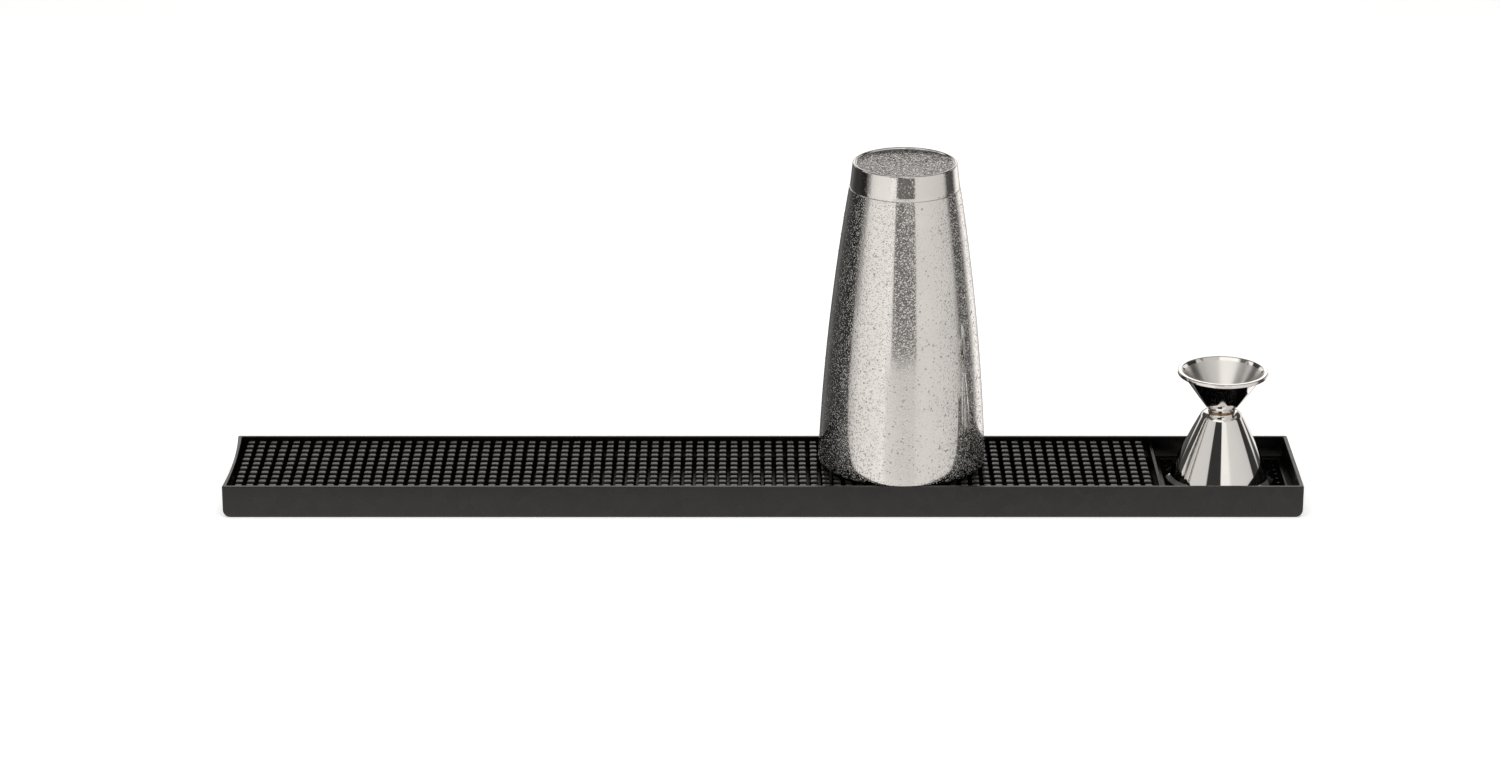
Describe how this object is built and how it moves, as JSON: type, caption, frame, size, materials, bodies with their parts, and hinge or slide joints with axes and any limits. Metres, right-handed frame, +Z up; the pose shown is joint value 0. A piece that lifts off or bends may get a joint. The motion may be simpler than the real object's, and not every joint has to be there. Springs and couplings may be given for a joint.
{
  "type": "cocktail shaker set",
  "caption": "Boston shaker of nested weighted steel tins and a double jigger on a long black rubber bar mat with square nibs and a jigger pocket.",
  "frame": {"origin": "centre of the mat's flat underside, on the counter", "axes": "+X along the mat towards the jigger pocket, +Y to the mat's back edge, +Z up"},
  "size_m": [0.59, 0.0927, 0.1888],
  "materials": {
    "black_rubber": "satin moulded",
    "polished_steel": "mirror polished stainless",
    "plain_steel": "plain",
    "weld_steel": "heat tinted weld"
  },
  "bodies": {
    "mat": {"bar_mat": "black_rubber"},
    "small_tin": {"small_tin_body": "polished_steel", "small_tin_base_cap": "polished_steel", "small_tin_weight": "plain_steel"},
    "large_tin": {"large_tin_body": "polished_steel", "large_tin_base_cap": "polished_steel", "large_tin_weight": "plain_steel"},
    "jigger": {"jigger_large_cup": "polished_steel", "jigger_small_cup": "polished_steel", "jigger_weld": "weld_steel"}
  },
  "joints": [
    {"name": "small_tin_lift", "type": "slide", "parent": "mat", "child": "small_tin", "axis": [0, 0, 1], "range_m": [0, 0.2]},
    {"name": "large_tin_lift", "type": "slide", "parent": "small_tin", "child": "large_tin", "axis": [0, 0, 1], "range_m": [0, 0.2]},
    {"name": "jigger_lift", "type": "slide", "parent": "mat", "child": "jigger", "axis": [0, 0, 1], "range_m": [0, 0.15]}
  ]
}
